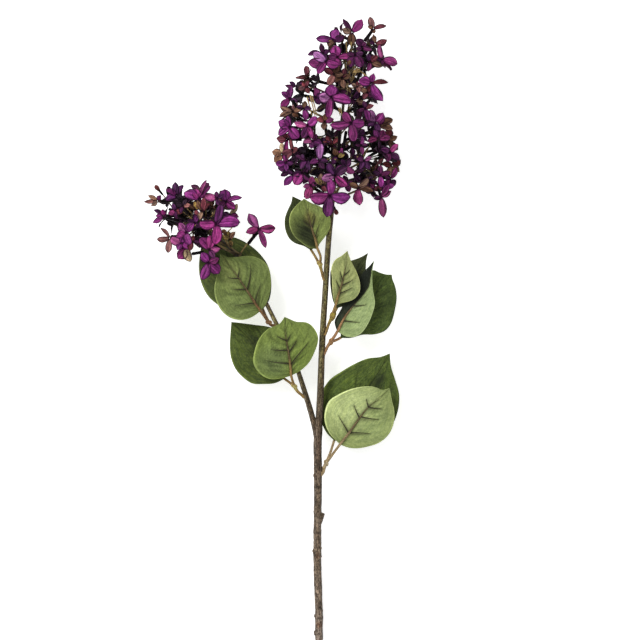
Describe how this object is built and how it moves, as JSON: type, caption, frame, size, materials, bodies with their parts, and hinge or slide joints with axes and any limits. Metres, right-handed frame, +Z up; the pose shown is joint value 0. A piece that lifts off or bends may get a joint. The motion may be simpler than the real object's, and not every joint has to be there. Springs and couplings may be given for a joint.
{
  "type": "lilac stem",
  "caption": "Lilac spray lying on a surface: a forked brown stem, heart-shaped leaves on forked stalks with raised ribs, and loose heads of purple star-shaped florets.",
  "frame": {"origin": "centre of the footprint's bounding box on the surface that the spray lies on", "axes": "+Y along the stem from its cut end to the big head, +Z up from the surface, +X to the side of the single leaves opposite the side branch"},
  "size_m": [0.2554, 0.6256, 0.109],
  "materials": {
    "bark": "matte coating like grey-brown bark, olive on the upper stem",
    "stalk": "matte moulded plastic, olive to brown",
    "leaf_underside": "matte printed cloth, light grey-green",
    "leaf_upper_face": "matte printed cloth, dark green with pressed veins",
    "petal": "matte dyed cloth, purple with dark edges"
  },
  "bodies": {
    "root": {"stem": "bark", "leaf_stalk_a": "stalk", "leaf_stalk_b": "stalk", "leaf_stalk_c": "stalk", "leaf_stalk_d": "stalk", "leaf_stalk_e": "stalk", "leaf_stalk_f": "stalk", "leaf_a_front": "leaf_underside", "leaf_a_back": "leaf_upper_face", "leaf_b_front": "leaf_underside", "leaf_b_back": "leaf_upper_face", "leaf_c_front": "leaf_underside", "leaf_c_back": "leaf_upper_face", "leaf_d_front": "leaf_underside", "leaf_d_back": "leaf_upper_face", "leaf_e_front": "leaf_underside", "leaf_e_back": "leaf_upper_face", "leaf_f_front": "leaf_underside", "leaf_f_back": "leaf_upper_face", "big_head": "petal", "small_head": "petal"}
  },
  "joints": []
}
